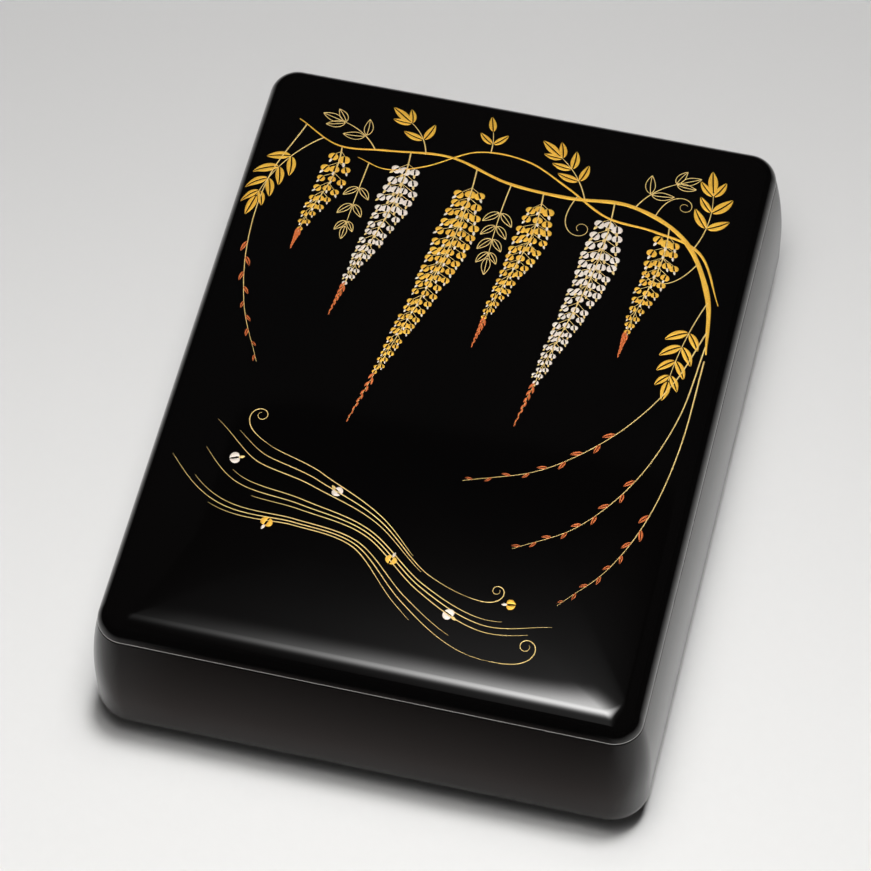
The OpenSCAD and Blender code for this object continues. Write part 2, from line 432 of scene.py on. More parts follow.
def lidTop(x, y):
    # Height of the lid over the plan: the level line through each place is found by halving
    low = np.zeros(np.shape(x))
    high = low + 2
    for _ in range(halvings):
        level = (low + high) / 2
        alongX, alongY, corner = levelLine(*levelPlace(level))
        overX = np.abs(x) - alongX
        overY = np.abs(y) - alongY
        beyond = np.hypot(np.maximum(overX, 0), np.maximum(overY, 0))
        beyond = beyond + np.minimum(np.maximum(overX, overY), 0)
        low = np.where(beyond < corner, level, low)
        high = np.where(beyond < corner, high, level)
    inside, share = levelPlace(low)
    bend = boxForm["shoulderRound"]
    short = bend - np.minimum(inside, bend)
    return boxForm["rimHigh"] + np.sqrt(bend ** 2 - short ** 2) + crownRise(inside, share)


# Lid and body skins

lidSkin = {
    "shoulderSteps": 20,
    "crownSteps": 26,
    "crownGather": 1.4,
    "middleSteps": 8,
    "seamSteps": 6,
    "cornerSteps": 14,
    "sideSteps": 12,
}


def lidSkinPoints(look):
    # Rings round the rim, from a point under the middle out along the crown's inside and down the shoulder's
    # inside, round the seam's quarter circle, up the shoulder's arc and in over the crown to its top
    bend = boxForm["shoulderRound"]
    rim = boxForm["rimHigh"]
    seam = boxForm["seamRound"]
    coat = boxForm["lidCoat"]
    run = (np.arange(1, look["crownSteps"] + 1) / look["crownSteps"]) ** look["crownGather"]
    crownInside = bend + run * (boxForm["crownReach"] - bend)
    middleShare = 1 - np.arange(1, look["middleSteps"]) / look["middleSteps"]
    crownShare = np.concatenate([np.ones_like(run), middleShare])
    crownInside = np.concatenate([crownInside, np.full_like(middleShare, boxForm["crownReach"])])

    def arcRows(setIn, first):
        turn = np.linspace(first, math.pi / 2, look["shoulderSteps"])
        radius = bend - setIn
        return bend - radius * np.cos(turn), rim + radius * np.sin(turn)

    innerInside, innerHigh = arcRows(coat, 0.0)
    outerInside, outerHigh = arcRows(0.0, math.asin(seam / bend))
    turn = np.linspace(0, math.pi / 2, look["seamSteps"])[:-1]
    seamInside = seam - (seam - outerInside[0]) * np.sin(turn)
    seamHigh = rim + seam - seam * np.cos(turn)
    flat = np.full_like(crownShare, rim + bend)
    inside = np.concatenate([crownInside[::-1], innerInside[::-1], seamInside, outerInside, crownInside])
    high = np.concatenate([flat - coat, innerHigh[::-1], seamHigh, outerHigh, flat])
    one = np.ones(len(inside) - 2 * len(crownShare))
    share = np.concatenate([crownShare[::-1], one, crownShare])
    alongX, alongY, corner = levelLine(inside, share)
    at, out = rimStations(look["cornerSteps"], look["sideSteps"])
    plan = np.stack([alongX, alongY], -1)[:, None, :] * at[None] + corner[:, None, None] * out[None]
    z = np.repeat((high + crownRise(inside, share))[:, None, None], len(at), 1)
    rings = np.concatenate([plan, z], -1)
    top = rim + bend + boxForm["crownHigh"]
    poles = np.array([[0, 0, top - coat], [0, 0, top]])
    return np.concatenate([rings.reshape(-1, 3), poles])[None], rings.shape[0], rings.shape[1]


lidShell = makePiece("lid_skin", *lidSkinPoints(lidSkin))
lidShell.data.materials.append(lidLacquer)
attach(lidShell, "lid")
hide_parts("lid_lacquer_coat")

bodySkin = {"wallSteps": 20, "baseSteps": 22, "seamSteps": 5, "cornerSteps": 16, "sideSteps": 10}


def bodySkinPoints(look):
    # Closed section carried round the rim: the seam's quarter circle, the swelling wall's arc, an upright
    # run, the rolled base's arc to the foot, and the same way back a coat's thickness inside
    rim = boxForm["rimHigh"]
    seam = boxForm["seamRound"]
    baseReach = fullReach - boxForm["baseRound"]

    def wallRows(setIn, top):
        z = np.linspace(top, boxForm["bulgeHigh"], look["wallSteps"])
        radius = wallRound - setIn
        u = fullReach - wallRound + np.sqrt(radius ** 2 - (z - boxForm["bulgeHigh"]) ** 2)
        bend = boxForm["baseRound"] - setIn
        turn = np.linspace(0, math.acos((boxForm["footReach"] - baseReach) / bend), look["baseSteps"])
        baseU = baseReach + bend * np.cos(turn)
        baseZ = boxForm["baseRound"] - bend * np.sin(turn)
        return np.concatenate([u, baseU]), np.concatenate([z, baseZ])

    outerU, outerZ = wallRows(0.0, rim - seam)
    innerU, innerZ = wallRows(boxForm["coat"], rim)
    turn = np.linspace(0, math.pi / 2, look["seamSteps"])[:-1]
    seamU = outerU[0] - seam + seam * np.sin(turn)
    seamZ = rim - seam + seam * np.cos(turn)
    u = np.concatenate([seamU, outerU, innerU[::-1]])
    z = np.concatenate([seamZ, outerZ, innerZ[::-1]])
    at, out = rimStations(look["cornerSteps"], look["sideSteps"])
    axes = np.array([halfWide, halfDeep]) - boxForm["cornerRound"]
    plan = (at * axes)[None] + u[:, None, None] * out[None]
    rings = np.concatenate([plan, np.broadcast_to(z[:, None, None], (*plan.shape[:2], 1))], -1)
    return rings.reshape(1, -1, 3), rings.shape[0], rings.shape[1]


bodyShell = makePiece("body_skin", *bodySkinPoints(bodySkin), True)
bodyShell.data.materials.append(bodyLacquer)
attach(bodyShell, "box")
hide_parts("body_lacquer_coat")
print("skins made:", len(lidShell.data.polygons), len(bodyShell.data.polygons), "faces")

# The solids that stay get their finish on their own slots
boardFinishes = {
    deepBoard: ["wall_left", "wall_right", "lining_left", "lining_right", "bottom_board", "lid_top_board",
                "lid_rail_left", "lid_rail_right"],
    wideBoard: ["wall_front", "wall_back", "lining_front", "lining_back", "lid_rail_front", "lid_rail_back"],
    bareWood: ["body_corner_keys", "bottom_pegs", "lid_corner_keys"],
}
for finish, names in boardFinishes.items():
    for name in names:
        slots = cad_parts[name].data.materials
        if len(slots):
            slots[0] = finish
        else:
            slots.append(finish)
print("boards finished")


# Gold and silver decoration on the lid: wisteria over flowing water. Lengths are in millimetres

reliefLook = {"rise": 0.11, "sink": 0.05, "fullHalf": 0.3, "leastRise": 0.25}
sectionAcross = np.array([-1.0, -0.62, 0.0, 0.62, 1.0, 0.0])
sectionLift = np.array([0.0, 0.8, 1.0, 0.8, 0.0, 0.0])
sectionSink = np.array([1.0, 0.0, 0.0, 0.0, 1.0, 1.6])


def sideOf(path):
    # Unit direction along each path and the one square to it, to the left
    run = np.gradient(path, axis=1)
    run = run / np.linalg.norm(run, axis=-1, keepdims=True)
    return run, np.stack([-run[..., 1], run[..., 0]], -1)


def ribbons(path, half):
    # Lens section carried along each path on the lid: flat in plan, its middle raised over the lid's surface
    # and its edges sunk below it. Paths are ribbons x stations x 2, half widths ribbons x stations
    run, side = sideOf(path)
    plan = path[:, :, None, :] + side[:, :, None, :] * (half[:, :, None] * sectionAcross)[..., None]
    rise = reliefLook["rise"] * np.clip(half / reliefLook["fullHalf"], reliefLook["leastRise"], 1.0)
    offset = rise[:, :, None] * sectionLift - reliefLook["sink"] * sectionSink
    z = lidTop(plan[..., 0], plan[..., 1]) + offset
    shell = np.concatenate([plan, z[..., None]], -1).reshape(len(path), -1, 3)
    ends = np.stack([path[:, 0] - run[:, 0] * half[:, :1], path[:, -1] + run[:, -1] * half[:, -1:]], 1)
    endZ = lidTop(ends[..., 0], ends[..., 1]) - reliefLook["sink"]
    return np.concatenate([shell, np.concatenate([ends, endZ[..., None]], -1)], 1)


def ribbonPiece(name, shells, stations, material):
    piece = makePiece(name, shells, stations, len(sectionAcross))
    piece.data.materials.append(material)
    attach(piece, "lid")
    print("decoration:", name, len(shells), "strokes")


def smoothPath(knots, stations):
    # Catmull-Rom curve through the knots, whose ends are carried on straight
    knots = np.array(knots, float)
    padded = np.concatenate([2 * knots[:1] - knots[1:2], knots, 2 * knots[-1:] - knots[-2:-1]])
    t = np.linspace(0, len(knots) - 1, stations)
    i = np.minimum(t.astype(int), len(knots) - 2)
    f = (t - i)[:, None]
    a, b, c, d = (padded[i + k] for k in range(4))
    return b + 0.5 * f * (c - a + f * (2 * a - 5 * b + 4 * c - d + f * (3 * (b - c) + d - a)))


def turningPath(start, heading, bend, curl, length, stations):
    # Path that starts along a heading and turns by bend over its length, and by curl as the cube
    # of the share run
    t = np.linspace(0, 1, stations)
    angle = heading[:, None] + bend[:, None] * t + curl[:, None] * t ** 3
    step = np.stack([np.cos(angle), np.sin(angle)], -1) * (length / (stations - 1))[:, None, None]
    path = np.cumsum(step, 1) - step[:, :1]
    return start[:, None, :] + path


def pointsAt(place, along, path):
    # The places on a path at the shares asked for
    return np.stack([np.interp(place, along, path[:, k]) for k in range(2)], -1)


def taper(first, last, stations):
    return first + (last - first) * np.linspace(0, 1, stations)


bladeLook = {"ends": (0.03, 0.97), "ribShare": 0.4, "leastHalf": 0.06}


def blades(base, heading, bend, length, width, gap, fullAt, bluntness, stations):
    # Leaf or petal in two halves beside a bare midrib: the outer edge stands off by width times a power of
    # the sine of the share run, which is itself raised to a power to move the fullest place
    t = np.linspace(*bladeLook["ends"], stations)
    middle = turningPath(base, heading, bend, np.zeros_like(heading), length, stations)
    side = sideOf(middle)[1]
    power = math.log(0.5) / math.log(fullAt)
    outer = width[:, None] * np.sin(math.pi * t ** power) ** bluntness
    inner = np.minimum(gap / 2, outer * bladeLook["ribShare"])
    offset = side * ((outer + inner) / 2)[..., None]
    half = np.maximum((outer - inner) / 2, bladeLook["leastHalf"])
    paths = np.concatenate([middle + offset, middle - offset])
    return ribbons(paths, np.concatenate([half, half]))


def outlines(base, heading, bend, length, width, fullAt, bluntness, lineHalf, stations):
    # The same leaf drawn with three thin lines: both edges and the midrib
    t = np.linspace(0, 1, stations)
    middle = turningPath(base, heading, bend, np.zeros_like(heading), length, stations)
    side = sideOf(middle)[1]
    power = math.log(0.5) / math.log(fullAt)
    offset = side * (width[:, None] * np.sin(math.pi * t ** power) ** bluntness)[..., None]
    lines = np.concatenate([middle + offset, middle - offset, middle])
    return ribbons(lines, np.full(lines.shape[:2], lineHalf))


# Lengths and widths of a floret are shares of its size
floretLook = {
    "bannerLong": 0.62,
    "bannerWide": 0.47,
    "bannerGap": 0.32,
    "bannerFullAt": 0.58,
    "bannerBluntness": 0.55,
    "bannerStations": 7,
    "wingsFrom": 0.6,
    "wingSpread": 0.6,
    "wingTurn": 1.1,
    "wingLong": 0.4,
    "wingWide": 0.2,
    "wingEnds": (0.08, 0.92),
    "wingBluntness": 0.6,
    "wingStations": 6,
}


def florets(base, heading, size):
    # A floret from the front: a broad banner in two lobes, and a pair of short wings that close under it
    look = floretLook
    none = np.zeros_like(heading)
    bannerLong = look["bannerLong"] * size
    bannerWide = look["bannerWide"] * size
    banner = blades(base, heading, none, bannerLong, bannerWide, look["bannerGap"], look["bannerFullAt"],
                    look["bannerBluntness"], look["bannerStations"])
    foot = base + look["wingsFrom"] * size[:, None] * np.stack([np.cos(heading), np.sin(heading)], -1)
    both = np.concatenate([heading + look["wingSpread"], heading - look["wingSpread"]])
    turn = np.concatenate([none - look["wingTurn"], none + look["wingTurn"]])
    length = np.concatenate([size, size]) * look["wingLong"]
    swell = np.sin(math.pi * np.linspace(*look["wingEnds"], look["wingStations"])) ** look["wingBluntness"]
    half = look["wingWide"] * length[:, None] * swell
    path = turningPath(np.concatenate([foot, foot]), both, turn, turn * 0, length, look["wingStations"])
    return banner, ribbons(path, half)


rng = np.random.default_rng(23)

vineLook = {
    "stations": 80,
    "main": [(113, 40), (107, 72), (90, 100), (62, 113), (32, 111), (2, 113), (-28, 122), (-58, 119),
             (-82, 117), (-104, 129)],
    "second": [(113, 68), (99, 94), (76, 101), (52, 104), (30, 117), (8, 128), (-16, 128), (-38, 114),
               (-56, 108), (-71, 112)],
    "mainHalf": (1.55, 0.32),
    "secondHalf": (0.85, 0.22),
    "knotSwell": 0.18,
    "knotTurn": 38,
    "knotSharpness": 6,
    "startSwell": (0.25, 8),
}
vinePaths = np.stack([smoothPath(vineLook[k], vineLook["stations"]) for k in ("main", "second")])
vineHalves = np.stack([taper(*vineLook[k], vineLook["stations"]) for k in ("mainHalf", "secondHalf")])
knotWave = np.sin(np.linspace(0, vineLook["knotTurn"], vineLook["stations"])) ** vineLook["knotSharpness"]
knots = 1 + vineLook["knotSwell"] * knotWave
knots = knots * np.clip(np.linspace(*vineLook["startSwell"], vineLook["stations"]), 0, 1)
ribbonPiece("vine_gold", ribbons(vinePaths, vineHalves * knots), vineLook["stations"], gold)

# Hanging flower heads: start, length, sideways drift, half width, which powder. A stray is the spread of
# what is drawn at random
headLook = {
    "heads": [
        ((82, 105), 76, -8, 8.5, "gold"),
        ((54, 113), 132, -18, 9.5, "silver"),
        ((20, 111), 92, -13, 9.0, "gold"),
        ((-14, 118), 152, -25, 10.0, "gold"),
        ((-47, 120), 98, -15, 9.0, "silver"),
        ((-80, 117), 62, -9, 8.0, "gold"),
    ],
    "stations": 44,
    "driftPower": 1.7,
    "sway": 1.4,
    "axisHalf": (0.40, 0.14),
    "pitch": 4.7,
    "flowering": 0.74,
    "firstRow": 0.09,
    "rowReach": 0.72,
    "rowGather": 0.22,
    "floret": 6.3,
    "floretFade": 0.58,
    "topHalf": 0.55,
    "topWidening": 2.5,
    "narrowing": 0.93,
    "overhang": 0.5,
    "droop": 0.16,
    "lean": 0.5,
    "fan": 30,
    "acrossStray": 0.3,
    "downStray": 0.4,
    "headingStray": 0.12,
    "sizeStray": 0.05,
    "stalkRise": 2.2,
    "stalkHalf": 0.15,
    "stalkStations": 5,
    "budCount": 12,
    "budsAt": (0.82, 0.995),
    "budSpread": 2.3,
    "budClosing": 2.0,
    "budLong": (3.9, 2.0),
    "budBend": 0.5,
    "budWide": 0.2,
    "budEnds": (0.1, 0.95),
    "budPower": 0.8,
    "budBluntness": 0.8,
    "budLeastHalf": 0.08,
    "budStations": 6,
}
axisShells = []
stalkShells = []
budShells = []
flowerShells = {"gold": [], "silver": []}
wingShells = {"gold": [], "silver": []}
otherPowder = {"gold": "silver", "silver": "gold"}
for start, length, drift, wide, powder in headLook["heads"]:
    share = np.linspace(0, 1, headLook["stations"])
    sway = headLook["sway"] * np.sin(2 * math.pi * share)
    axisX = start[0] + drift * share ** headLook["driftPower"] + sway
    axis =np.stack([axisX, start[1] - length * share], -1)
    axisShells.append(ribbons(axis[None], taper(*headLook["axisHalf"], len(share))[None]))
    # Rows of florets, four abreast near the top and one at the end
    rows = int(headLook["flowering"] * length / headLook["pitch"])
    run = np.arange(rows) / (rows - 1)
    gathered = (1 + headLook["rowGather"]) * run - headLook["rowGather"] * run ** 2
    rowShare = headLook["firstRow"] + headLook["rowReach"] * gathered
    rowSize = headLook["floret"] * (1 - headLook["floretFade"] * rowShare)
    opened = np.minimum(1, headLook["topHalf"] + headLook["topWidening"] * run)
    rowHalf = wide * opened * (1 - headLook["narrowing"] * run)
    number = 1 + np.round(2 * rowHalf / rowSize).astype(int)
    row = np.repeat(np.arange(rows), number)
    place = np.arange(len(row)) - np.repeat(np.cumsum(number) - number, number)
    column = 2 * (place + 0.5) / number[row] - 1
    across = column * (rowHalf[row] + headLook["overhang"]) + rng.normal(0, headLook["acrossStray"], len(row))
    down = -headLook["droop"] * np.abs(across) + rng.normal(0, headLook["downStray"], len(row))
    at = pointsAt(rowShare[row], share, axis)
    base = at + np.stack([across, down], -1)
    hanging = -90 + headLook["lean"] * drift
    heading = np.radians(hanging + headLook["fan"] * column)
    heading = heading + rng.normal(0, headLook["headingStray"], len(row))
    size = rowSize[row] * (1 + rng.normal(0, headLook["sizeStray"], len(row)))
    banner, wing = florets(base, heading, size)
    flowerShells[powder].append(banner)
    wingShells[otherPowder[powder]].append(wing)
    back = at + np.array([0.0, headLook["stalkRise"]])
    reach = np.linspace(0, 1, headLook["stalkStations"])[None, :, None]
    stalk = back[:, None, :] + (base - back)[:, None, :] * reach
    stalkShells.append(ribbons(stalk, np.full(stalk.shape[:2], headLook["stalkHalf"])))
    # Buds at the end, on both sides by turns
    budShare = np.linspace(*headLook["budsAt"], headLook["budCount"])
    budAt = pointsAt(budShare, share, axis)
    sign = np.where(np.arange(headLook["budCount"]) % 2, 1.0, -1.0)
    budHeading = np.radians(hanging) + sign * (headLook["budSpread"] - headLook["budClosing"] * budShare)
    budLength = taper(*headLook["budLong"], headLook["budCount"])
    budBend = -sign * headLook["budBend"]
    bud = turningPath(budAt, budHeading, budBend, sign * 0, budLength, headLook["budStations"])
    budRun = np.linspace(*headLook["budEnds"], headLook["budStations"]) ** headLook["budPower"]
    budHalf = headLook["budWide"] * budLength[:, None] * np.sin(math.pi * budRun) ** headLook["budBluntness"]
    budShells.append(ribbons(bud, np.maximum(budHalf, headLook["budLeastHalf"])))

# Feathered leaves: start, heading, bend in degrees, stem length, pairs of leaflets, leaflet length,
# filled or drawn
leafLook = {
    "leaves": [
        ((108, 68), 252, 14, 48, 4, 10.0, True),
        ((95, 95), 66, 36, 36, 3, 11.0, True),
        ((64, 113), 68, -40, 26, 2, 10.5, False),
        ((40, 111), 108, 34, 30, 3, 10.0, True),
        ((-10, 129), 88, 18, 13, 1, 8.5, True),
        ((-40, 121), 100, 44, 22, 2, 9.5, True),
        ((-64, 118), 122, 42, 24, 2, 9.5, False),
        ((-90, 120), 218, 40, 46, 4, 10.5, True),
        ((4, 113), 264, 8, 44, 4, 8.5, False),
        ((-65, 110), 266, 2, 38, 3, 7.6, False),
    ],
    "stations": 16,
    "stemHalf": (0.38, 0.18),
    "pairsAt": (0.40, 0.93),
    "spread": 62,
    "closing": 20,
    "offStem": 0.7,
    "pairSize": 0.84,
    "pairSwell": 0.22,
    "endSize": 1.08,
    "sizeStray": 0.05,
    "curve": 0.3,
    "fullAt": 0.42,
    "bluntness": 0.85,
    "solidWide": 0.215,
    "solidGap": 0.34,
    "solidStations": 11,
    "drawnWide": 0.21,
    "drawnHalf": 0.22,
    "drawnStations": 16,
}
stemShells = []
solidShells = []
drawnShells = []
for start, heading, bend, length, pairs, leaflet, solid in leafLook["leaves"]:
    start = np.array([start], float)
    heading = np.radians([heading])
    bend = np.radians([bend])
    stem = turningPath(start, heading, bend, bend * 0, np.array([length]), leafLook["stations"])
    stemShells.append(ribbons(stem, taper(*leafLook["stemHalf"], leafLook["stations"])[None]))
    place = np.linspace(*leafLook["pairsAt"], pairs)
    at = pointsAt(place, np.linspace(0, 1, leafLook["stations"]), stem[0])
    spread = np.radians(leafLook["spread"] - leafLook["closing"] * place)
    local = heading + bend * place
    turn = np.concatenate([local + spread, local - spread, heading + bend])
    base = np.concatenate([at, at, stem[0, -1:]])
    base = base + leafLook["offStem"] * np.stack([np.cos(turn), np.sin(turn)], -1)
    pairSize = leafLook["pairSize"] + leafLook["pairSwell"] * np.sin(math.pi * place)
    size = leaflet * np.concatenate([pairSize, pairSize, [leafLook["endSize"]]])
    size = size * (1 + rng.normal(0, leafLook["sizeStray"], len(size)))
    curve = np.concatenate([np.full(pairs, -leafLook["curve"]), np.full(pairs, leafLook["curve"]), [0.0]])
    if solid:
        solidShells.append(blades(base, turn, curve, size, leafLook["solidWide"] * size, leafLook["solidGap"],
                                  leafLook["fullAt"], leafLook["bluntness"], leafLook["solidStations"]))
    else:
        drawnShells.append(outlines(base, turn, curve, size, leafLook["drawnWide"] * size, leafLook["fullAt"],
                                    leafLook["bluntness"], leafLook["drawnHalf"], leafLook["drawnStations"]))

# Long young shoots with small red leaves in pairs: the places that each one runs through
shootLook = {
    "shoots": [
        [(111, 52), (101, 18), (82, -14), (54, -40), (20, -54)],
        [(112, 44), (108, 2), (96, -36), (76, -66), (50, -84)],
        [(113, 36), (112, -12), (106, -52), (94, -84), (76, -108)],
        [(-100, 126), (-110, 92), (-110, 54), (-102, 18), (-88, -12)],
    ],
    "stations": 60,
    "half": (0.42, 0.13),
    "leafCount": 9,
    "leavesAt": (0.50, 0.97),
    "leafLong": (6.2, 3.41),
    "leafSpread": 0.62,
    "leafBend": 0.35,
    "leafWide": 0.19,
    "leafGap": 0.2,
    "leafFullAt": 0.42,
    "leafBluntness": 0.85,
    "leafStations": 8,
    "sizeStray": 0.08,
}
shootPaths = np.stack([smoothPath(knots, shootLook["stations"]) for knots in shootLook["shoots"]])
shootHalves = np.repeat(taper(*shootLook["half"], shootLook["stations"])[None], len(shootPaths), 0)
redShells = []
for path in shootPaths:
    place = np.linspace(*shootLook["leavesAt"], shootLook["leafCount"])
    along = np.linspace(0, 1, shootLook["stations"])
    at = pointsAt(place, along, path)
    run = pointsAt(place, along, sideOf(path[None])[0][0])
    local = np.arctan2(run[:, 1], run[:, 0])
    sign = np.where(np.arange(len(place)) % 2, 1.0, -1.0)
    size = taper(*shootLook["leafLong"], len(place))
    size = size * (1 + rng.normal(0, shootLook["sizeStray"], len(place)))
    heading = local + sign * shootLook["leafSpread"]
    bend = -sign * shootLook["leafBend"]
    redShells.append(blades(at, heading, bend, size, shootLook["leafWide"] * size, shootLook["leafGap"],
                            shootLook["leafFullAt"], shootLook["leafBluntness"], shootLook["leafStations"]))

# Curling tendrils: start, heading, bend and curl in degrees, length
tendrilLook = {
    "tendrils": [
        ((99, 88), 245, -40, -430, 50),
        ((36, 113), 250, 30, 400, 44),
        ((74, 109), 80, -60, -420, 40),
    ],
    "stations": 60,
    "half": (0.34, 0.13),
}
tendril = np.array([(*start, *rest) for start, *rest in tendrilLook["tendrils"]], float)
tendrilTurns = np.radians(tendril[:, 2:5]).T
tendrilPaths = turningPath(tendril[:, :2], *tendrilTurns, tendril[:, 5], tendrilLook["stations"])
tendrilHalves = np.repeat(taper(*tendrilLook["half"], tendrilLook["stations"])[None], len(tendril), 0)

# Flowing water: three strands of lines that keep beside one winding course, draw together and open, with
# eddies curling off three of their ends. Lines: distance from the course, where it starts and ends as shares
# of the course. Eddies: line, which end, way round, length
waterLook = {
    "course": [(-104, -54), (-80, -76), (-48, -82), (-15, -90), (15, -112), (46, -124), (76, -118)],
    "courseStations": 400,
    "lines": [
        (-19.0, 0.16, 0.70), (-15.8, 0.02, 0.86), (-12.6, 0.10, 0.78),
        (-4.4, 0.22, 0.94), (-1.2, 0.05, 1.00), (2.0, 0.14, 0.88),
        (10.6, 0.00, 0.64), (14.2, 0.05, 0.76), (17.8, 0.18, 0.60),
    ],
    "stations": 100,
    "half": 0.30,
    "ends": (0.03, 0.97),
    "bluntness": 0.5,
    "open": 0.82,
    "openSwing": 0.3,
    "openTurns": 1.15,
    "openStart": 0.1,
    "openSkew": 0.012,
    "eddies": [(1, "end", 1, 44), (7, "end", 1, 34), (8, "start", -1, 42)],
    "eddyBend": 25.0,
    "eddyCurl": 470.0,
}
offset, begin, finish = np.array(waterLook["lines"]).T[:, :, None]
flow = begin + (finish - begin) * np.linspace(0, 1, waterLook["stations"])
course = smoothPath(waterLook["course"], waterLook["courseStations"])
along = np.linspace(0, 1, len(course))
middle = pointsAt(flow, along, course)
across = pointsAt(flow, along, sideOf(course[None])[1][0])
swing = np.sin(2 * math.pi * (waterLook["openTurns"] * flow + waterLook["openStart"]))
skew = offset * np.sin(2 * math.pi * flow)
opening = waterLook["open"] + waterLook["openSwing"] * swing + waterLook["openSkew"] * skew
waterPaths = middle + across * (offset * opening)[..., None]
waterRun = sideOf(waterPaths)[0]
eddyPaths = []
for line, which, sign, length in waterLook["eddies"]:
    at, out = {"end": (-1, 1), "start": (0, -1)}[which]
    heading = np.arctan2(*(out * waterRun[line, at, ::-1, None]))
    turns = [np.radians([sign * waterLook[key]]) for key in ("eddyBend", "eddyCurl")]
    begun = waterPaths[line, at][None]
    eddyPaths.append(turningPath(begun, heading, *turns, np.array([float(length)]), waterLook["stations"]))
waterPaths = np.concatenate([waterPaths, *eddyPaths])
swell = np.sin(math.pi * np.linspace(*waterLook["ends"], waterLook["stations"])) ** waterLook["bluntness"]
waterHalves = np.repeat(waterLook["half"] * swell[None], len(waterPaths), 0)

# Florets adrift on the water: place, heading in degrees, size
driftLook = {
    "silver": [(-86, -66, 20, 7.0), (-32, -74, 140, 6.4), (28, -122, 330, 6.8)],
    "gold": [(-60, -93, 250, 6.8), (-2, -104, 75, 6.4), (58, -112, 190, 6.2)],
}
for powder, rows in driftLook.items():
    rows = np.array(rows, float)
    banner, wing = florets(rows[:, :2], np.radians(rows[:, 2]), rows[:, 3])
    flowerShells[powder].append(banner)
    wingShells[otherPowder[powder]].append(wing)

bannerStations = floretLook["bannerStations"]
wingStations = floretLook["wingStations"]
strokes = [
    ("flower_axes", axisShells, headLook["stations"], paleGold, "gold_powder"),
    ("flower_stalks", stalkShells, headLook["stalkStations"], paleGold, "gold_powder"),
    ("flowers_gold", flowerShells["gold"], bannerStations, gold, "gold_powder"),
    ("flowers_silver", flowerShells["silver"], bannerStations, silver, "silver_powder"),
    ("wings_gold", wingShells["gold"], wingStations, paleGold, "gold_powder"),
    ("wings_silver", wingShells["silver"], wingStations, silver, "silver_powder"),
    ("buds_red", budShells, headLook["budStations"], redGold, "gold_powder"),
    ("leaf_stems", stemShells, leafLook["stations"], paleGold, "gold_powder"),
    ("leaves_gold", solidShells, leafLook["solidStations"], gold, "gold_powder"),
    ("leaves_drawn", drawnShells, leafLook["drawnStations"], paleGold, "gold_powder"),
    ("shoots_gold", [ribbons(shootPaths, shootHalves)], shootLook["stations"], paleGold, "gold_powder"),
    ("shoot_leaves_red", redShells, shootLook["leafStations"], redGold, "gold_powder"),
    ("tendrils_gold", [ribbons(tendrilPaths, tendrilHalves)], tendrilLook["stations"], paleGold,
     "gold_powder"),
    ("flow_lines_gold", [ribbons(waterPaths, waterHalves)], waterLook["stations"], paleGold, "gold_powder"),
]
for name, shells, stations, material, slot in strokes:
    ribbonPiece(name, np.concatenate(shells), stations, material)

# Camera, with places in metres and turns in degrees, as for all that stands round the box
cameraLook = {
    "place": (0.26456, -1.0145, 1.66798),
    "turn": (32.77337, 0.83647, 13.66277),
    "lens": 170.13,
    "sensor": 36.0,
}
camera = bpy.data.objects.new("camera", bpy.data.cameras.new("camera"))
camera.location = cameraLook["place"]
camera.rotation_euler = [math.radians(angle) for angle in cameraLook["turn"]]
camera.data.lens = cameraLook["lens"]
camera.data.sensor_width = cameraLook["sensor"]
bpy.context.scene.collection.objects.link(camera)
bpy.context.scene.camera = camera


def sheetPiece(name, corners, faces=((0, 1, 2, 3),)):
    mesh = bpy.data.meshes.new(name)
    mesh.from_pydata(corners, [], faces)
    mesh.update()
    piece = bpy.data.objects.new(name, mesh)
    bpy.context.scene.collection.objects.link(piece)
    return piece


# Floor of pale paper with faint fibres, its colour painted lighter towards the front and the right as a
# painted falloff of the light
floorLook = {
    "half": 6.0,
    "drop": 0.0003,
    # Painted light: the front colour stands for the brightly lit front of the floor, the back colour for its
    # dimmer back
    "front": (0.645, 0.642, 0.636),
    "back": (0.44, 0.437, 0.436),
    "turns": (-0.35, 0.42),
    "slant": 0.22,
    "fibre": (0.45, 0.45, 0.45),
    "fibres": (180.0, 3.0),
    "fibreShare": 0.08,
    "rough": 0.75,
    "shine": 0.1,
}
half = floorLook["half"]
around = [(-1, -1), (1, -1), (1, 1), (-1, 1)]
floor = sheetPiece("floor", [(half * x, half * y, -floorLook["drop"]) for x, y in around])
floorMaterial, floorBoard = newMaterial("pale_paper")
floorPlace = floorBoard.place()
floorX, floorY = (floorBoard.axis(floorPlace, k) for k in range(2))
floorPaintedFalloff = floorBoard.ease(floorY - floorLook["slant"] * floorX, *floorLook["turns"])
floorColour = floorBoard.blendColour(floorPaintedFalloff, rgba(floorLook["front"]), rgba(floorLook["back"]))
fibres = floorBoard.noise(floorPlace, *floorLook["fibres"]) * floorLook["fibreShare"]
floorColour = floorBoard.blendColour(fibres, floorColour, rgba(floorLook["fibre"]))
floorFinish = {"Roughness": floorLook["rough"], "Specular IOR Level": floorLook["shine"]}
floorBoard.surface({"Base Color": floorColour, **floorFinish})
floor.data.materials.append(floorMaterial)

# The soft light hangs level over the box, even on the right and fading as a bell curve to the left and to
# the front. Its back edge is soft and slants further back on the right, with a faint glow behind it
lightLook = {
    "high": 1.1,
    "left": -0.42,
    "right": 0.55,
    "front": -1.45,
    "back": 0.60,
    "peak": 22.0,
    "peakX": 0.05,
    "spreadX": 0.13,
    "peakY": -0.10,
    "spreadY": 0.20,
    "backEdge": (0.02, 0.17),
    "slant": (-0.05, 0.09, 0.12),
    "rightEdge": (0.08, 0.31),
    "glow": 0.45,
    "glowSpread": 0.17,
    "glowEdge": (0.15, 0.58),
    "colour": (1.0, 0.99, 0.98),
}


def bellCurve(square):
    # e to the power of minus half the square of the distance
    return math.e ** (square * -0.5)


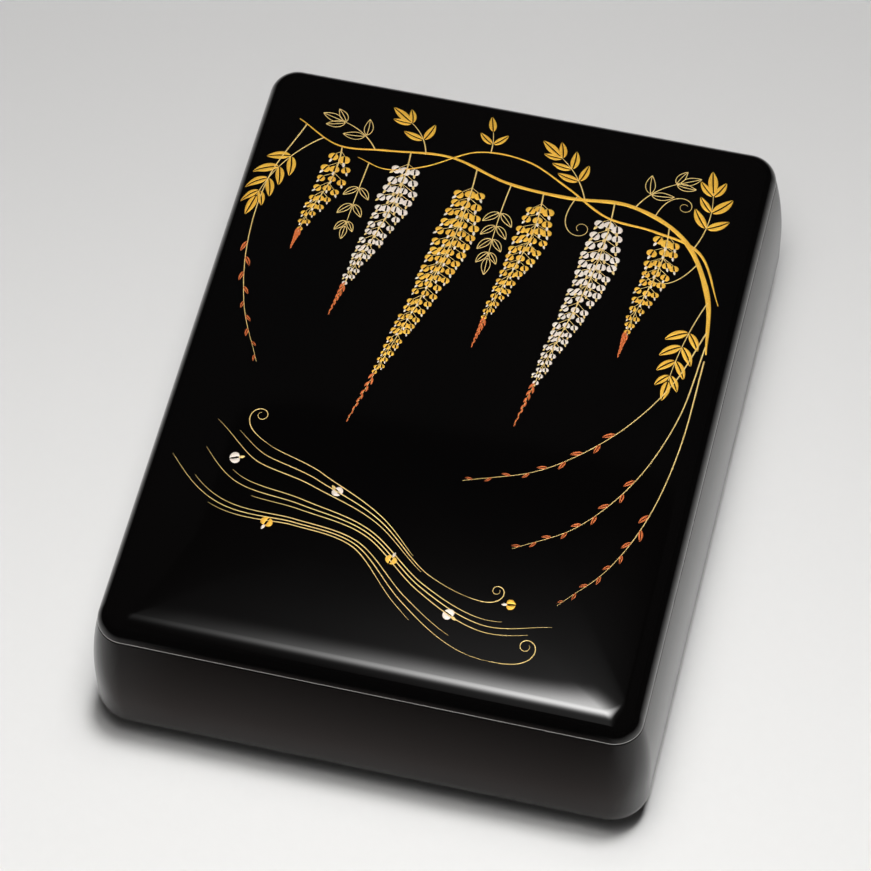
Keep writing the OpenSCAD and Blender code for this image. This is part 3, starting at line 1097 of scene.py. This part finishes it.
softEnds = [("left", "back"), ("right", "back"), ("right", "front"), ("left", "front")]
softCorners = [(lightLook[x], lightLook[y], lightLook["high"]) for x, y in softEnds]
softbox = sheetPiece("softbox", softCorners)
softMaterial, softBoard = newMaterial("soft_light")
softPlace = softBoard.place()
softX, softY = (softBoard.axis(softPlace, k) for k in range(2))
awayX = softBoard.maths("MINIMUM", softX - lightLook["peakX"], 0.0) / lightLook["spreadX"]
awayY = (softY - lightLook["peakY"]) / lightLook["spreadY"]
slantFrom, slantTo, slantBack = lightLook["slant"]
slanted = softY - softBoard.ease(softX, slantFrom, slantTo, 0.0, slantBack)
edge = softBoard.fade(slanted, *lightLook["backEdge"]) * softBoard.fade(softX, *lightLook["rightEdge"])
awayGlow = (softX - lightLook["peakX"]) / lightLook["glowSpread"]
glow = bellCurve(awayGlow * awayGlow) * softBoard.fade(softY, *lightLook["glowEdge"])
bell = bellCurve(awayX * awayX + awayY * awayY)
strength = bell * edge * lightLook["peak"] + glow * lightLook["glow"]
softInputs = {"Color": rgba(lightLook["colour"]), "Strength": strength}
softBoard.show(softBoard.add("ShaderNodeEmission", {}, softInputs))
softbox.data.materials.append(softMaterial)
softbox.visible_camera = False
softbox.visible_shadow = False

# Cards slope up round the set, out of the picture, so that the polished shoulders mirror dark. They start
# see-through and thicken outwards;
# before the front wall a grey one lies close, seen only in reflections, so that the front wall mirrors grey
# there in place of the pale floor
cardLook = {
    "inner": [(-0.18, -0.16), (0.18, -0.16), (0.18, 0.24), (-0.18, 0.24)],
    "outer": 1.3,
    "low": 0.001,
    "high": 0.5,
    "black": (0.01, 0.01, 0.01),
    "grey": (0.28, 0.246, 0.236),
    "thicken": 0.06,
    "greyEnd": 0.05,
    "frontHalf": (0.09, 0.20),
    "frontStart": (-0.182, -0.16),
}
cardCorners = [(x, y, cardLook["low"]) for x, y in cardLook["inner"]]
cardCorners += [(cardLook["outer"] * x, cardLook["outer"] * y, cardLook["high"]) for x, y in around]
cards = sheetPiece("cards", cardCorners, [(0, 1, 5, 4), (1, 2, 6, 5), (2, 3, 7, 6), (3, 0, 4, 7)])
cardMaterial, cardBoard = newMaterial("card")
cardPlace = cardBoard.place()
cardX, cardY, cardZ = (cardBoard.axis(cardPlace, k) for k in range(3))
offMiddle = cardBoard.maths("ABSOLUTE", cardX)
front = cardBoard.fade(offMiddle, *cardLook["frontHalf"]) * cardBoard.fade(cardY, *cardLook["frontStart"])
thick = cardBoard.ease(cardZ, cardLook["low"], cardLook["thicken"])
cover = cardBoard.maths("MAXIMUM", front, thick)
darkening = cardBoard.ease(cardZ, cardLook["low"], cardLook["greyEnd"])
tone = cardBoard.blendColour(darkening, rgba(cardLook["grey"]), rgba(cardLook["black"]))
matt = cardBoard.add("ShaderNodeBsdfDiffuse", {}, {"Color": tone})
clear = cardBoard.add("ShaderNodeBsdfTransparent")
cardBoard.show(cardBoard.add("ShaderNodeMixShader", {}, {0: cover, 1: clear, 2: matt}))
cards.data.materials.append(cardMaterial)
cards.visible_camera = False
cards.visible_diffuse = False
cards.visible_shadow = False

# A narrow sun nearly overhead, a little from behind and from the right, lights the floor close up to the box.
# The polish doesn't mirror it
fillLook = {"strength": 2.05, "spread": 9.0, "turn": (-7.0, 5.0, 0.0)}
fill = bpy.data.objects.new("fill", bpy.data.lights.new("fill", "SUN"))
fill.data.energy = fillLook["strength"]
fill.data.angle = math.radians(fillLook["spread"])
fill.rotation_euler = [math.radians(angle) for angle in fillLook["turn"]]
fill.visible_glossy = False
bpy.context.scene.collection.objects.link(fill)

# The surroundings are pale at the horizon and dark above
skyLook = {"colour": (1.0, 0.995, 0.985), "pale": 0.72, "dark": 0.02, "low": 0.02, "high": 0.16}
world = bpy.data.worlds.new("surroundings")
bpy.context.scene.world = world
skyBoard = Board(world)
skyHigh = skyBoard.axis(skyBoard.place("Generated"), 2)
skyLevel = skyBoard.ease(skyHigh, skyLook["low"], skyLook["high"], skyLook["pale"], skyLook["dark"])
sky = skyBoard.add("ShaderNodeBackground", {}, {"Color": rgba(skyLook["colour"]), "Strength": skyLevel})
skyBoard.add("ShaderNodeOutputWorld", {}, {"Surface": sky})

bpy.context.scene.view_settings.view_transform = "Standard"
print("camera, floor and lights set")
